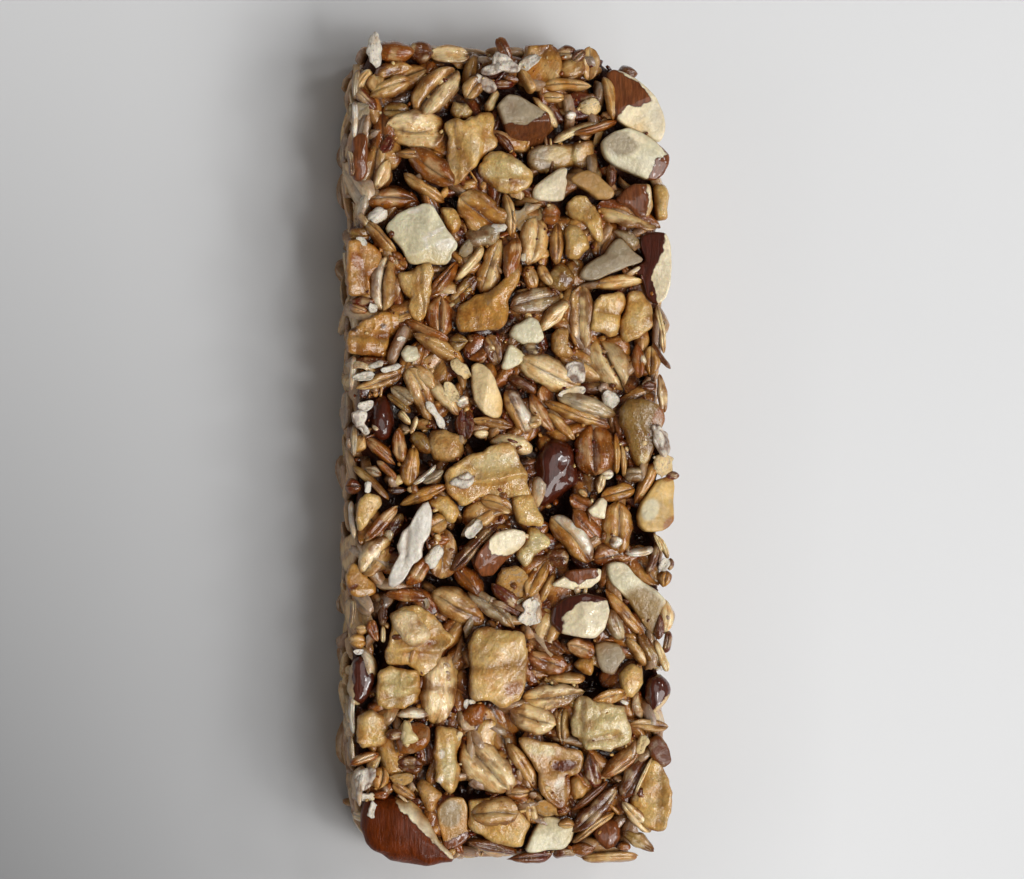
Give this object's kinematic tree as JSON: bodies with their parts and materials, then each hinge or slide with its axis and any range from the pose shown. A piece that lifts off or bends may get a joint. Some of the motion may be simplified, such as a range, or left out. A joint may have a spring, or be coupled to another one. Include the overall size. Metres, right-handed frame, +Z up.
{
  "type": "granola bar",
  "caption": "Flat rectangular granola bar of pressed rolled oats, set with chopped almonds and dried fruit chunks.",
  "frame": {"origin": "under the middle of the bar, on its flat base", "axes": "+Y along the bar, +X across it, +Z up out of its top"},
  "size_m": [0.0403, 0.0998, 0.0156],
  "materials": {
    "oats": "baked rolled oats in glossy syrup",
    "almond_flesh": "cut almond flesh, pale and dry",
    "almond_skin": "brown almond skin, satin",
    "fruit": "dried fruit, waxy and slightly translucent"
  },
  "bodies": {
    "root": {"oat_mass": "oats", "almond_01": "almond_flesh", "almond_02": "almond_flesh", "almond_03": "almond_flesh", "almond_04": "almond_flesh", "almond_05": "almond_flesh", "almond_06": "almond_flesh", "almond_07": "almond_flesh", "almond_08": "almond_flesh", "almond_09": "almond_flesh", "almond_10": "almond_flesh", "almond_11": "almond_flesh", "almond_12": "almond_flesh", "almond_13": "almond_flesh", "almond_14": "almond_skin", "almond_15": "almond_skin", "almond_16": "almond_skin", "almond_17": "almond_skin", "almond_18": "almond_skin", "almond_19": "almond_skin", "fruit_01": "fruit", "fruit_02": "fruit", "fruit_03": "fruit", "fruit_04": "fruit", "fruit_05": "fruit", "fruit_06": "fruit", "fruit_07": "fruit", "fruit_08": "fruit", "fruit_09": "fruit", "fruit_10": "fruit", "fruit_11": "fruit", "fruit_12": "fruit", "fruit_13": "fruit", "fruit_14": "fruit", "fruit_15": "fruit", "fruit_16": "fruit", "fruit_17": "fruit", "fruit_18": "fruit", "fruit_19": "fruit", "fruit_20": "fruit", "fruit_21": "fruit", "fruit_22": "fruit", "fruit_23": "fruit"}
  },
  "joints": []
}
